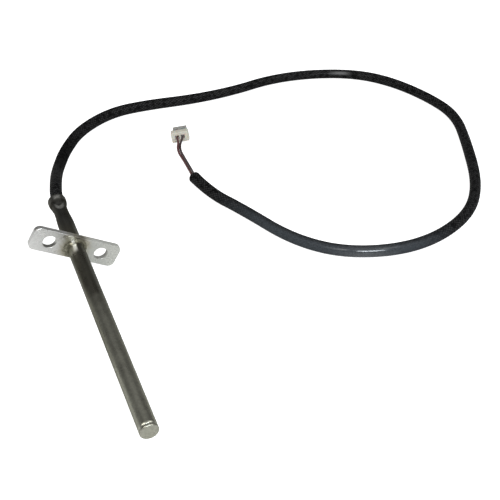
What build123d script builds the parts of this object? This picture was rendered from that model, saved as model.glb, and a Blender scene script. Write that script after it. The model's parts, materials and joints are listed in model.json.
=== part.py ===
from build123d import *
import math
import os

# Sheathed two-wire sensor probe with a two-hole flange and a sleeved lead. Millimetres, +Z up.
# The origin is the centre of the flange, in the middle of its thickness and on the axis of the sheath.
# The probe lies with its tip and one flange corner on the same surface as its lead, so its axis dips
# towards the tip.

# Pose of the probe above that surface
probe_tilt = 5.35
flange_roll = 28.9

# Sheath and tip. Distances along the axis count from the origin, positive towards the tip.
sheath_dia = 6.0
sheath_wall = 0.35
front_length = 90.0
tip_cap_thickness = 1.0
tip_cap_spigot = 1.5
tip_cap_round = 0.5

# Rolled-in rear end of the sheath
taper_start = 12.5
neck_distance = 20.8
lip_distance = 27.4
lip_dia = 6.8
lip_land = 0.9
lip_round = 0.15

# Flange
flange_length = 33.5
flange_width = 9.1
flange_thickness = 2.0
flange_corner = 2.2
flange_edge_break = 0.15
screw_hole_dia = 4.8
screw_spacing = 20.0
braze_gap = 0.1
braze_leg = 0.9
countersink_depth = 0.5

# Lead: sleeving and two insulated wires
sleeve_dia = 4.6
sleeve_bore = 3.6
sleeve_grip = 12.6
exit_run = 1.2
wire_dia = 1.0
wire_core_dia = 0.48
wire_spacing = 1.1

# Inside the sheath
liner_clearance = 0.1
liner_wall = 0.3
potting_length = 9.5
chip_width = 2.0
chip_length = 2.3
chip_thickness = 0.65
chip_tip_gap = 0.8
pad_length = 0.7
track_thickness = 0.05
track_line = 0.12
track_runs = 6
track_margin = 0.3
glaze_thickness = 0.35
chip_lead_dia = 0.25
chip_lead_spacing = 1.0
chip_lead_straight = 1.2
splice_spacing = 2.0
splice_length = 5.0
splice_wall = 0.25
splice_gap = 1.6
strip_gap = 0.8
splice_sleeve_wall = 0.3
splice_cover = 2.0
splice_straight = 1.0
splice_bend = 8.0

# Connector: two ways, lying on one lower edge of its head
pitch = 2.5
housing_width = 7.7
housing_depth = 4.8
head_length = 2.8
nose_width = 6.0
nose_depth = 4.0
nose_length = 4.2
housing_edge = 0.25
cavity_size = 1.7
rail_width = 0.6
window_width = 1.0
window_length = 1.4
window_offset = 1.0
contact_clearance = 0.1
contact_sheet = 0.2
contact_box_length = 3.2
contact_lance_lead = 0.3
contact_lance_width = 0.6
lance_height = 0.5
contact_inset = 0.2
contact_grip_length = 0.9
contact_step = 0.2
contact_crimp_length = 1.4
insulation_inset = 1.15
mouth_straight = 3.2
connector_heading = 20.0
connector_roll = 10.0
connector_x = 65.8
connector_y = 81.3

# Derived levels and radii
sheath_radius = sheath_dia / 2
bore_radius = sheath_radius - sheath_wall
neck_radius = sleeve_dia / 2 + sheath_wall
lip_radius = lip_dia / 2
lip_end = lip_distance + lip_land
flange_face = flange_thickness / 2
tilt = math.radians(probe_tilt)
tube_end = front_length - tip_cap_thickness
rim_reach = (front_length - tip_cap_round) * math.sin(tilt)
rim_drop = (sheath_radius - tip_cap_round) * math.cos(tilt) + tip_cap_round
surface_z = -(rim_reach + rim_drop)
lie = surface_z + sleeve_dia / 2
potting_front = tube_end - tip_cap_spigot
potting_rear = potting_front - potting_length
chip_front = potting_front - chip_tip_gap
chip_rear = chip_front - chip_length
pad_front = chip_rear + pad_length
splice_front = potting_rear - splice_gap
splice_rear = splice_front - splice_length
splice_middle = (splice_front + splice_rear) / 2
strip_end = splice_rear - strip_gap
splice_sleeve_rear = strip_end - splice_cover
liner_radius = bore_radius - liner_clearance
liner_rear = -taper_start
sleeve_inner_end = sleeve_grip - lip_end
chip_lead_height = chip_thickness / 2 + chip_lead_dia / 2
way_height = housing_depth / 2
contact_size = cavity_size - 2 * contact_clearance
grip_radius = wire_dia / 2 + contact_sheet
crimp_radius = wire_core_dia / 2 + contact_sheet
crimp_start = contact_inset + contact_grip_length + contact_step
crimp_end = crimp_start + contact_crimp_length
housing_length = head_length + nose_length

# Seats: the sheath's own axis becomes +Z of the probe seat, and the mating direction +Y of the
# connector seat, whose origin is the middle of the wire side's lower edge.
probe_seat = Rot(X=90 + probe_tilt)
connector_lift = housing_width / 2 * math.sin(math.radians(connector_roll))
connector_place = Pos(connector_x, connector_y, surface_z + connector_lift)
connector_seat = connector_place * Rot(Z=-connector_heading) * Rot(Y=-connector_roll)


def in_probe(distance, side=0.0, height=0.0):
    """Point at a distance along the sheath from the origin, offset to the side and upwards."""
    return (probe_seat * Pos(side, height, distance)).position


def in_connector(side, depth, height=way_height):
    """Point in the connector, by its offset to the side and its depth from the wire side."""
    return (connector_seat * Pos(side, depth, height)).position


# Route of the sleeving from inside the rolled end to its open end, laid by hand
sleeve_route = [
    in_probe(sleeve_inner_end),
    in_probe(-lip_end - exit_run),
    (2.8, 43.0, 2.4),
    (6.2, 58.0, -1.9),
    (10.0, 73.0, -7.0),
    (15.5, 88.0, lie),
    (26.0, 104.8, lie),
    (44.0, 117.6, lie),
    (62.2, 119.2, lie),
    (84.0, 117.7, lie),
    (105.5, 119.9, lie),
    (126.6, 125.9, lie),
    (148.7, 124.9, lie),
    (169.3, 117.0, lie),
    (181.8, 102.6, lie),
    (189.8, 80.4, lie),
    (192.0, 58.8, lie),
    (181.6, 32.2, lie),
    (166.0, -1.2, lie),
    (148.6, -21.0, lie),
    (122.0, -32.0, lie),
    (96.0, -27.4, lie),
    (79.6, -11.9, lie),
    (69.4, 16.2, lie),
    (62.0, 32.2, lie),
    (60.0, 47.6, lie),
]

# Middle of the pair of bare wires between the open end and the connector, laid by hand
wire_tail = [(60.7, 61.0, -10.6), (62.4, 72.5, -10.3)]


def corner_radii(points):
    """Arc at each corner: 0.45 of the shorter run over the tangent of half the turn."""
    radii = []
    for before, corner, after in zip(points, points[1:], points[2:]):
        run_in = Vector(*corner) - Vector(*before)
        run_out = Vector(*after) - Vector(*corner)
        half_turn = math.radians(run_in.get_angle(run_out)) / 2
        radii.append(0.45 * min(run_in.length, run_out.length) / math.tan(half_turn))
    return radii


def beside(points, offset):
    """Inner points of a route moved sideways in plan, to the right of travel by the offset."""
    corners = [Vector(*point) for point in points]
    moved = []
    for before, here, after in zip(corners, corners[1:], corners[2:]):
        arriving = Vector(here.X - before.X, here.Y - before.Y).normalized()
        leaving = Vector(after.X - here.X, after.Y - here.Y).normalized()
        share = offset / (1 + arriving.dot(leaving))
        across = Vector(arriving.Y + leaving.Y, -arriving.X - leaving.X) * share
        moved.append(here + across)
    return moved


def tube_along(points, radii, radius, bore=0.0):
    """Round tube or rod along straight runs joined by tangent arcs."""
    path = FilletPolyline(*points, radius=radii)
    start = Plane(origin=path @ 0, z_dir=path % 0)
    outer = sweep(start * Circle(radius), path=path)
    if bore:
        return outer - sweep(start * Circle(bore), path=path)
    return outer


def revolved(outline):
    """Solid turned about the sheath axis from closed lines drawn in radius and distance."""
    return revolve(Plane.XZ * make_face(outline), Axis.Z)


def ring(outer_radius, inner_radius, rear, front):
    """Tube about the sheath axis from the rear distance to the front distance."""
    section = Circle(outer_radius)
    if inner_radius:
        section = section - Circle(inner_radius)
    return Pos(0, 0, rear) * extrude(section, front - rear)


def block(width, length, depth, x, y, z):
    """Box placed by the middle of its width and its low corner along the other two axes."""
    return Pos(x, y, z) * Box(width, length, depth, align=(Align.CENTER, Align.MIN, Align.MIN))


def across_round(radius, bore, start, length, x, z):
    """Tube along the connector's mating direction."""
    section = Circle(radius)
    if bore:
        section = section - Circle(bore)
    return Pos(x, start, z) * Rot(X=-90) * extrude(section, length)


def rolled_line(inset):
    """Side of the sheath from the tip to the lip, inset from the outer surface by the inset."""
    straight = sheath_radius - inset
    waist = neck_radius - inset
    flare = lip_radius - inset
    taper_middle = -(taper_start + neck_distance) / 2
    flare_middle = -(neck_distance + lip_distance) / 2
    shoulder = (straight, -taper_start)
    neck = (waist, -neck_distance)
    return [
        Line((straight, tube_end), shoulder),
        Bezier(shoulder, (straight, taper_middle), (waist, taper_middle), neck),
        Bezier(neck, (waist, flare_middle), (flare, flare_middle), (flare, -lip_distance)),
    ]


def sheath_tube():
    """Drawn tube with a long taper, a neck rolled on to the sleeving and a flared lip."""
    outer = rolled_line(0)
    inner = rolled_line(sheath_wall)
    lip_inner = lip_radius - sheath_wall
    rim = [
        Line((lip_radius, -lip_distance), (lip_radius, -lip_end)),
        Line((lip_radius, -lip_end), (lip_inner, -lip_end)),
        Line((lip_inner, -lip_end), (lip_inner, -lip_distance)),
        Line((bore_radius, tube_end), (sheath_radius, tube_end)),
    ]
    tube = revolved(outer + rim + inner)
    rim_edges = tube.edges().filter_by(GeomType.CIRCLE).group_by(Axis.Z)[0]
    return fillet(rim_edges, lip_round)


def tip_plug():
    """Welded end cap with a rounded rim and a spigot in the bore."""
    cap = ring(sheath_radius, 0, tube_end, front_length)
    cap = fillet(cap.edges().sort_by(Axis.Z)[-1], tip_cap_round)
    return cap + ring(bore_radius, 0, potting_front, tube_end)


def flange_bore():
    """Radius and distance at each corner of the flange's countersunk hole, from rear to front."""
    gap_radius = sheath_radius + braze_gap
    foot = gap_radius + braze_leg
    waist = (gap_radius, flange_face - countersink_depth)
    return [(gap_radius, -flange_face), waist, (foot, flange_face)]


def mounting_flange():
    """Flat plate with two screw holes and a hole for the sheath, seating face towards the tip."""
    outline = RectangleRounded(flange_length, flange_width, flange_corner)
    plate = Pos(0, 0, -flange_face) * extrude(outline, flange_thickness)
    faces = plate.faces().filter_by(Axis.Z)
    plate = chamfer(faces.edges(), flange_edge_break)
    bore = Polyline((0, -flange_face), *flange_bore(), (0, flange_face), close=True)
    plate -= revolved(bore)
    for side in (-1, 1):
        hole = ring(screw_hole_dia / 2, 0, -flange_face, flange_face)
        plate -= Pos(side * screw_spacing / 2, 0, 0) * hole
    return Rot(Z=-flange_roll) * plate


def flange_braze():
    """Braze that fills the flange's hole round the sheath and stands as a hollow bead on each side."""
    rear_corner, waist, front_foot = flange_bore()
    rear_foot = (front_foot[0], -flange_face)
    dip = sheath_radius + braze_leg / 4
    front_dip = (dip, flange_face + braze_leg / 4)
    rear_dip = (dip, -flange_face - braze_leg / 4)
    front_top = (sheath_radius, flange_face + braze_leg)
    rear_top = (sheath_radius, -flange_face - braze_leg)
    outline = [
        Bezier(front_top, front_dip, front_foot),
        Line(front_foot, waist),
        Line(waist, rear_corner),
        Line(rear_corner, rear_foot),
        Bezier(rear_foot, rear_dip, rear_top),
        Line(rear_top, front_top),
    ]
    return revolved(outline)


def liner_sleeve():
    """Glass-fibre liner between the wires and the sheath."""
    return ring(liner_radius, liner_radius - liner_wall, liner_rear, potting_rear)


def chip_slab(width, rear, front, low, high):
    """Flat layer of the sensing chip, by its two ends and its two levels."""
    return Pos(0, (low + high) / 2, (rear + front) / 2) * Box(width, high - low, front - rear)


def rtd_substrate():
    """Ceramic carrier of the chip."""
    return chip_slab(chip_width, chip_rear, chip_front, -chip_thickness / 2, chip_thickness / 2)


def platinum_track():
    """Folded resistance track on the carrier."""
    low = chip_thickness / 2
    high = low + track_thickness
    rear = pad_front + track_line
    front = chip_front - track_margin
    step = (chip_width - 2 * track_margin - track_line) / (track_runs - 1)
    first = -(track_runs - 1) * step / 2
    track = Part()
    for index in range(track_runs):
        x = first + index * step
        track += Pos(x, 0, 0) * chip_slab(track_line, rear, front, low, high)
        if index < track_runs - 1:
            turn_rear = front - track_line if index % 2 == 0 else rear
            turn = chip_slab(step, turn_rear, turn_rear + track_line, low, high)
            track += Pos(x + step / 2, 0, 0) * turn
    return track


def glaze_slab():
    """Outer shape of the glass layer."""
    low = chip_thickness / 2
    front = chip_front - track_margin / 2
    width = chip_width - track_margin
    return chip_slab(width, pad_front, front, low, low + glaze_thickness)


def rtd_glaze():
    """Glass layer over the track."""
    return glaze_slab() - platinum_track()


def chip_lead(side):
    """Fine wire from the pad at the rear of the chip to the middle of its splice."""
    near = side * chip_lead_spacing / 2
    far = side * splice_spacing / 2
    points = [
        (near, chip_lead_height, pad_front),
        (near, chip_lead_height, chip_rear - chip_lead_straight),
        (far, 0, potting_rear + chip_lead_straight),
        (far, 0, splice_middle),
    ]
    return tube_along(points, corner_radii(points), chip_lead_dia / 2)


def tip_cement():
    """Ceramic potting that fills the tip around the chip and its leads, but not the gap under them."""
    potting = ring(bore_radius, 0, potting_rear, potting_front)
    potting -= rtd_substrate()
    potting -= glaze_slab()
    for side in (-1, 1):
        gap = chip_slab(chip_lead_dia, chip_rear, pad_front, chip_thickness / 2, chip_lead_height)
        potting -= Pos(side * chip_lead_spacing / 2, 0, 0) * gap
        potting -= chip_lead(side)
    return potting


def splice_barrel(side):
    """Barrel crimped on the wire's core at the rear and on the chip lead at the front."""
    radius = wire_core_dia / 2 + splice_wall
    rear_half = ring(radius, wire_core_dia / 2, splice_rear, splice_middle)
    front_half = ring(radius, chip_lead_dia / 2, splice_middle, splice_front)
    return Pos(side * splice_spacing / 2, 0, 0) * (rear_half + front_half)


def splice_sleeve(side):
    """Insulation over the splice, from the potting to the wire's own insulation."""
    bore = wire_dia / 2
    sleeve = ring(bore + splice_sleeve_wall, bore, splice_sleeve_rear, potting_rear)
    return Pos(side * splice_spacing / 2, 0, 0) * sleeve


def wire_route(side):
    """Corners of one wire from the splice bend to the connector's mouth."""
    apart = side * splice_spacing / 2
    together = side * wire_spacing / 2
    bend_front = splice_sleeve_rear - splice_straight
    pair = [*sleeve_route, *wire_tail, in_connector(0, -mouth_straight)]
    return [
        in_probe(bend_front, apart),
        in_probe(bend_front - splice_bend, together),
        *beside(pair, together),
        in_connector(side * pitch / 2, -mouth_straight),
    ]


def core_route(side):
    """The wire's core runs from the middle of its splice to the far end of its contact's crimp."""
    rear = in_probe(splice_middle, side * splice_spacing / 2)
    return [rear, *wire_route(side), in_connector(side * pitch / 2, crimp_end)]


def covered_route(side):
    """The insulation ends short of the splice barrel and inside the contact's grip."""
    rear = in_probe(strip_end, side * splice_spacing / 2)
    return [rear, *wire_route(side), in_connector(side * pitch / 2, insulation_inset)]


def conductor(side):
    """Copper core of one wire."""
    points = core_route(side)
    return tube_along(points, corner_radii(points), wire_core_dia / 2)


def wire_insulation(side):
    """Insulation of one wire, with the same arcs as its core."""
    radii = corner_radii(core_route(side))
    return tube_along(covered_route(side), radii, wire_dia / 2, wire_core_dia / 2)


def connector_housing():
    """Two-way housing: a wide head on the wire side, a narrower nose, and a window over each way."""
    head = block(housing_width, head_length, housing_depth, 0, 0, 0)
    head = chamfer(head.edges().filter_by(Axis.Y), housing_edge)
    nose_low = (housing_depth - nose_depth) / 2
    rail_low = nose_low + nose_depth
    rail_height = housing_depth - rail_low
    nose = block(nose_width, nose_length, nose_depth, 0, head_length, nose_low)
    nose = chamfer(nose.faces().sort_by(Axis.Y)[-1].edges(), housing_edge)
    housing = head + nose
    for side in (-1, 1):
        rail_x = side * (nose_width - rail_width) / 2
        housing += block(rail_width, nose_length / 2, rail_height, rail_x, head_length, rail_low)
        way = side * pitch / 2
        cavity_low = way_height - cavity_size / 2
        housing -= block(cavity_size, housing_length, cavity_size, way, 0, cavity_low)
        window_start = head_length + window_offset
        housing -= block(window_width, window_length, housing_depth, way, window_start, way_height)
    return connector_seat * housing


def contact(side):
    """Crimped contact: grip on the insulation, crimp on the core, box that takes the pin, and lance."""
    way = side * pitch / 2
    half = contact_size / 2
    floor_low = way_height - half
    box_start = head_length + window_offset - contact_lance_lead
    box = block(contact_size, contact_box_length, contact_size, way, box_start, floor_low)
    hollow = contact_size - 2 * contact_sheet
    box -= block(hollow, contact_box_length, hollow, way, box_start, floor_low + contact_sheet)
    strip_length = box_start - contact_inset
    strip = block(2 * crimp_radius, strip_length, contact_sheet, way, contact_inset, floor_low)
    grip = across_round(grip_radius, wire_dia / 2, contact_inset, contact_grip_length, way, way_height)
    core_radius = wire_core_dia / 2
    crimp = across_round(crimp_radius, core_radius, crimp_start, contact_crimp_length, way, way_height)
    stand_height = half - core_radius
    stand = block(contact_sheet, contact_crimp_length, stand_height, way, crimp_start, floor_low)
    lance_start = head_length + window_offset
    lance = block(contact_lance_width, contact_sheet, lance_height, way, lance_start, way_height + half)
    solid = box + strip + grip + crimp + stand + lance
    return connector_seat * solid


os.makedirs("parts", exist_ok=True)
sleeve_radii = corner_radii(sleeve_route)
nodes = {
    "sheath_tube": probe_seat * sheath_tube(),
    "tip_plug": probe_seat * tip_plug(),
    "mounting_flange": probe_seat * mounting_flange(),
    "flange_braze": probe_seat * flange_braze(),
    "liner_sleeve": probe_seat * liner_sleeve(),
    "rtd_substrate": probe_seat * rtd_substrate(),
    "platinum_track": probe_seat * platinum_track(),
    "rtd_glaze": probe_seat * rtd_glaze(),
    "tip_cement": probe_seat * tip_cement(),
    "cable_sleeve": tube_along(sleeve_route, sleeve_radii, sleeve_dia / 2, sleeve_bore / 2),
    "connector_housing": connector_housing(),
}
for side, letter, colour in ((-1, "a", "red"), (1, "b", "black")):
    nodes[f"rtd_lead_{letter}"] = probe_seat * chip_lead(side)
    nodes[f"splice_barrel_{letter}"] = probe_seat * splice_barrel(side)
    nodes[f"splice_sleeve_{letter}"] = probe_seat * splice_sleeve(side)
    nodes[f"contact_{colour}"] = contact(side)
    nodes[f"conductor_{colour}"] = conductor(side)
    nodes[f"insulation_{colour}"] = wire_insulation(side)
for name, shape in nodes.items():
    export_step(shape, f"parts/{name}.step")


def report_tube(name, points, outer, bore):
    """Print a tube's length, its volume over section times length, and its arcs."""
    radii = corner_radii(points)
    length = FilletPolyline(*points, radius=radii).length
    share = nodes[name].volume / (math.pi * (outer**2 - bore**2) / 4 * length)
    print(name, round(length, 1), "mm, volume share", round(share, 4))
    print("    arcs", [round(radius, 1) for radius in radii])


print("surface", round(surface_z, 3))
report_tube("cable_sleeve", sleeve_route, sleeve_dia, sleeve_bore)
for side, colour in ((-1, "red"), (1, "black")):
    report_tube(f"insulation_{colour}", covered_route(side), wire_dia, wire_core_dia)
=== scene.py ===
import json
import math
import bmesh
import bpy
import numpy as np
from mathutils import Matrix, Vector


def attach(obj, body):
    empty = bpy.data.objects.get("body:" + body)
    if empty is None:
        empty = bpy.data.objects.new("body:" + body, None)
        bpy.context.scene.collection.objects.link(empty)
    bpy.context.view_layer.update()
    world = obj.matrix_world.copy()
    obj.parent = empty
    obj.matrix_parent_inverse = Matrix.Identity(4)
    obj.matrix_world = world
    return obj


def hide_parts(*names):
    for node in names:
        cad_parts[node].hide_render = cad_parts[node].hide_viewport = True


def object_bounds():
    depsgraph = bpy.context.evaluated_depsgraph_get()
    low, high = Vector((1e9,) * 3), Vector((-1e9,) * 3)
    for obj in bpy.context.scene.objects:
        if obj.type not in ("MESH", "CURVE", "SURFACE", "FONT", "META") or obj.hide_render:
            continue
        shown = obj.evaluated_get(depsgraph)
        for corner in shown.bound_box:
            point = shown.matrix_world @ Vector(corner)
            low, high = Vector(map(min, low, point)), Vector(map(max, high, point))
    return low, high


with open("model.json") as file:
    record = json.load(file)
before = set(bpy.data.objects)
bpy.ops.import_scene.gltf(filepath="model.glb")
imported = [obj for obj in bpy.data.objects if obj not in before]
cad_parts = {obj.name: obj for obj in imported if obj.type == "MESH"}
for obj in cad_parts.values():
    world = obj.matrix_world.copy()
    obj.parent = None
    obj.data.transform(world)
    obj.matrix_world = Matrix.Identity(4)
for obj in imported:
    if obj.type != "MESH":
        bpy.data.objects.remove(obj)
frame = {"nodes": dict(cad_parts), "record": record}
cadBox = [list(corner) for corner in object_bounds()]
mounts = {entry["name"]: entry for entry in frame["record"]["mounts"]}
nodes = frame["nodes"]
print("frame loaded with", len(nodes), "nodes")

scene = bpy.context.scene
scene.view_settings.view_transform = "Standard"


def unit(vector):
    # the vector divided by its own length
    return np.array(vector, float) / np.linalg.norm(vector)


# axes of the probe, read from the mounts: towards the tip, along the flange and across it
tipWards = unit(mounts["sheath"]["axis"])
lowHole = np.array(mounts["screw_hole_low"]["pos_m"])
highHole = np.array(mounts["screw_hole_high"]["pos_m"])
flangeLong = unit(lowHole - highHole)
flangeShort = np.cross(tipWards, flangeLong)
floorHeight = cadBox[0][2]


def onProbe(across, up, along):
    # place from the distances along the flange, across it and out towards the tip
    return (np.multiply.outer(across, flangeLong) + np.multiply.outer(up, flangeShort)
            + np.multiply.outer(along, tipWards))


def addObject(name, data):
    # an object of its own for a mesh, camera or lamp
    made = bpy.data.objects.new(name, data)
    scene.collection.objects.link(made)
    return made


def standAt(thing, spot, right, back):
    # puts a camera or lamp on its spot, with its own right and back along the two directions
    turned = np.eye(4)
    turned[:3, :3] = np.stack([right, np.cross(back, right), back], 1)
    turned[:3, 3] = spot
    thing.matrix_world = turned.T.tolist()


view = {
    "place": (-0.05028, -0.29073, 0.19262),
    "forward": (0.3094, 0.7707, -0.5570),
    "up": (0.1990, 0.5203, 0.8305),
    "lens": 70.96,
    "sensor": 36.0,
    "clip": (0.01, 100.0),
}


def makeCamera():
    # a camera that looks forward, level as its up direction says
    data = bpy.data.cameras.new("viewCamera")
    data.lens = view["lens"]
    data.sensor_width = view["sensor"]
    data.clip_start, data.clip_end = view["clip"]
    forward = unit(view["forward"])
    scene.camera = addObject("viewCamera", data)
    standAt(scene.camera, view["place"], unit(np.cross(forward, view["up"])), -forward)


makeCamera()
print("camera placed")


# meshes from arrays


def angles(columns):
    # even angles round a full turn
    return np.arange(columns) * 2 * math.pi / columns


def smooth(low, high, value):
    # 0 below low, 1 above high, and an even S between them
    part = np.clip((value - low) / (high - low), 0, 1)
    return part * part * (3 - 2 * part)


def gridQuads(rows, columns, closedRows=False):
    # quads of points numbered row by row, where the last column joins the first, and the column
    # and row of each of their corners
    row, column = np.meshgrid(np.arange(rows - 1 + closedRows), np.arange(columns), indexing="ij")
    row, column = row[..., None] + [0, 0, 1, 1], column[..., None] + [0, 1, 1, 0]
    quads = row % rows * columns + column % columns
    return quads.reshape(-1, 4), np.stack([column, row], -1).reshape(-1, 2)


def makePiece(name, points, faces, cornerUv=None):
    # one mesh object from an array of points and a list of faces, all shaded smooth
    mesh = bpy.data.meshes.new(name)
    mesh.from_pydata(points.reshape(-1, 3).tolist(), [], faces)
    mesh.polygons.foreach_set("use_smooth", np.ones(len(mesh.polygons), bool))
    if cornerUv is not None:
        layer = mesh.uv_layers.new(name="surface")
        layer.data.foreach_set("uv", cornerUv.astype(np.float32).ravel())
    mesh.update()
    return addObject(name, mesh)


def addSpline(data, kind, points):
    # a spline of one kind with its control points, flat or in space, all of one weight
    spline = data.splines.new(kind)
    spline.points.add(len(points) - 1)
    control = np.zeros((len(points), 4))
    control[:, :np.shape(points)[1]] = points
    control[:, 3] = 1
    spline.points.foreach_set("co", control.ravel())
    return spline


def curveMesh(data):
    # the mesh that a curve turns into, and its points; the curve itself is thrown away
    bare = bpy.data.objects.new(data.name, data)
    mesh = bpy.data.meshes.new_from_object(bare)
    bpy.data.objects.remove(bare)
    bpy.data.curves.remove(data)
    points = np.empty(len(mesh.vertices) * 3)
    mesh.vertices.foreach_get("co", points)
    return mesh, points.reshape(-1, 3)


def makeTube(name, points, uvStep, capped=False, closedRows=False):
    # a grid of rings becomes a tube; its UV counts metres round and along it
    rows, columns = points.shape[:2]
    quads, corners = gridQuads(rows, columns, closedRows)
    cornerUv = corners * uvStep
    faces = quads.tolist()
    if capped:
        faces.append(list(range(columns))[::-1])
        faces.append(list(range((rows - 1) * columns, rows * columns)))
        cornerUv = np.concatenate([cornerUv, np.zeros((2 * columns, 2))])
    return makePiece(name, points, faces, cornerUv)


def standsFor(piece, node):
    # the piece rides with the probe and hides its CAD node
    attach(piece, "root")
    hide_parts(node)
    return piece


# routes of the lead, in metres

lie = floorHeight + 0.0023
sleeveRoute = [
    tuple(onProbe(0, 0, -0.0157)), tuple(onProbe(0, 0, -0.0295)),
    (0.0028, 0.0430, 0.0024), (0.0062, 0.0580, -0.0019), (0.0100, 0.0730, -0.0070),
    (0.0155, 0.0880, lie), (0.0260, 0.1048, lie), (0.0440, 0.1176, lie),
    (0.0622, 0.1192, lie), (0.0840, 0.1177, lie), (0.1055, 0.1199, lie),
    (0.1266, 0.1259, lie), (0.1487, 0.1249, lie), (0.1693, 0.1170, lie),
    (0.1818, 0.1026, lie), (0.1898, 0.0804, lie), (0.1920, 0.0588, lie),
    (0.1816, 0.0322, lie), (0.1660, -0.0012, lie), (0.1486, -0.0210, lie),
    (0.1220, -0.0320, lie), (0.0960, -0.0274, lie), (0.0796, -0.0119, lie),
    (0.0694, 0.0162, lie), (0.0620, 0.0322, lie), (0.06016, 0.0464, lie),
]
wireTail = [(0.0613, 0.0545, -0.0104), (0.0619, 0.0650, -0.0107), (0.0622, 0.0742, -0.0104)]

connector = {
    "place": (0.0658, 0.0813),
    "heading": math.radians(20.0),
    "roll": math.radians(10.0),
    "halfWidth": 0.00385,
    "wayHeight": 0.0024,
    "pitch": 0.0025,
}


def connectorAxes():
    # place, mating direction and up of the connector, turned by its heading and then its roll
    heading = np.array([math.sin(connector["heading"]), math.cos(connector["heading"]), 0.0])
    roll, rise = math.cos(connector["roll"]), math.sin(connector["roll"])
    side = np.array([heading[1] * roll, -heading[0] * roll, rise])
    spot = np.array([*connector["place"], floorHeight + connector["halfWidth"] * rise])
    return spot, heading, np.cross(side, heading)


connectorPlace, connectorHeading, connectorUp = connectorAxes()


def inConnector(depth):
    # place on the middle line between the two ways, from the distance into the connector
    return tuple(connectorPlace + depth * connectorHeading
                 + connector["wayHeight"] * connectorUp)


def splineLine(name, route, step):
    # the route's NURBS line of order 3, read back from a bare curve and spaced evenly
    data = bpy.data.curves.new(name, "CURVE")
    data.dimensions = "3D"
    data.resolution_u = 48
    spline = addSpline(data, "NURBS", route)
    spline.order_u = 3
    spline.use_endpoint_u = True
    mesh, line = curveMesh(data)
    bpy.data.meshes.remove(mesh)
    along = np.concatenate([[0], np.cumsum(np.linalg.norm(np.diff(line, axis=0), axis=1))])
    even = np.linspace(0, along[-1], int(round(along[-1] / step)) + 1)
    return np.stack([np.interp(even, along, line[:, k]) for k in range(3)], 1), even


def lineLength(line):
    # the sum of the steps from each point to the next
    return float(np.linalg.norm(np.diff(line, axis=0), axis=1).sum())


def lineFrame(line):
    # level side and raised normal at each point of a line that never stands upright
    tangent = np.gradient(line, axis=0)
    tangent /= np.linalg.norm(tangent, axis=1, keepdims=True)
    side = np.cross(tangent, (0.0, 0.0, 1.0))
    side /= np.linalg.norm(side, axis=1, keepdims=True)
    return side, np.cross(side, tangent)


def ringsAlong(line, radius, columns):
    # a circle about each point of the line; radius is one value for each point of the tube
    side, raised = lineFrame(line)
    angle = angles(columns)
    radius = np.broadcast_to(radius, (len(line), columns))[..., None]
    around = (np.cos(angle)[None, :, None] * side[:, None]
              + np.sin(angle)[None, :, None] * raised[:, None])
    return line[:, None] + radius * around


# braided sleeving

sleeving = {
    "bore": 0.0036,
    # the way round that the UV map counts, the same all along
    "girth": 0.01445,
    # distance along the sleeving and its diameter there
    "swell": ((0.020, 0.00475), (0.045, 0.0048), (0.068, 0.0051), (0.135, 0.0050),
              (0.160, 0.0047), (0.180, 0.0045), (0.236, 0.0045), (0.257, 0.0047),
              (0.278, 0.00455), (0.320, 0.0046), (0.350, 0.0048), (0.376, 0.0046),
              (0.432, 0.0047), (0.460, 0.0046), (0.488, 0.0045), (0.502, 0.0046),
              (0.530, 0.00485)),
    "strands": 12,
    "cell": 0.00165,
    "relief": 0.00008,
    # where handling has flattened the weave: start, full, still full, end
    "worn": (0.405, 0.436, 0.486, 0.522),
    "wornFlat": 0.9,
    # how far the cut ends flare, how much of that the bore follows, and over what length
    "flare": 0.00012,
    "boreFlare": 0.8,
    "flareLength": 0.0025,
    # the share that it slims by away from the neck, and over what length
    "slim": 0.02,
    "slimLength": 0.03,
    "columns": 60,
    "boreColumns": 20,
    "boreRows": 4,
    "step": 0.00041,
}


def braidHeight(around, along):
    # two families of strands cross; the upper one in each cell bulges across its own width
    first = sleeving["strands"] * around + along / sleeving["cell"]
    second = sleeving["strands"] * around - along / sleeving["cell"]
    across, beside = first % 1, second % 1
    over = (np.floor(first) + np.floor(second)) % 2 < 1
    lead = np.where(over, across, beside)
    follow = np.where(over, beside, across)
    return np.sin(math.pi * lead) ** 0.7 * (0.55 + 0.45 * np.sin(math.pi * follow))


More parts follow.
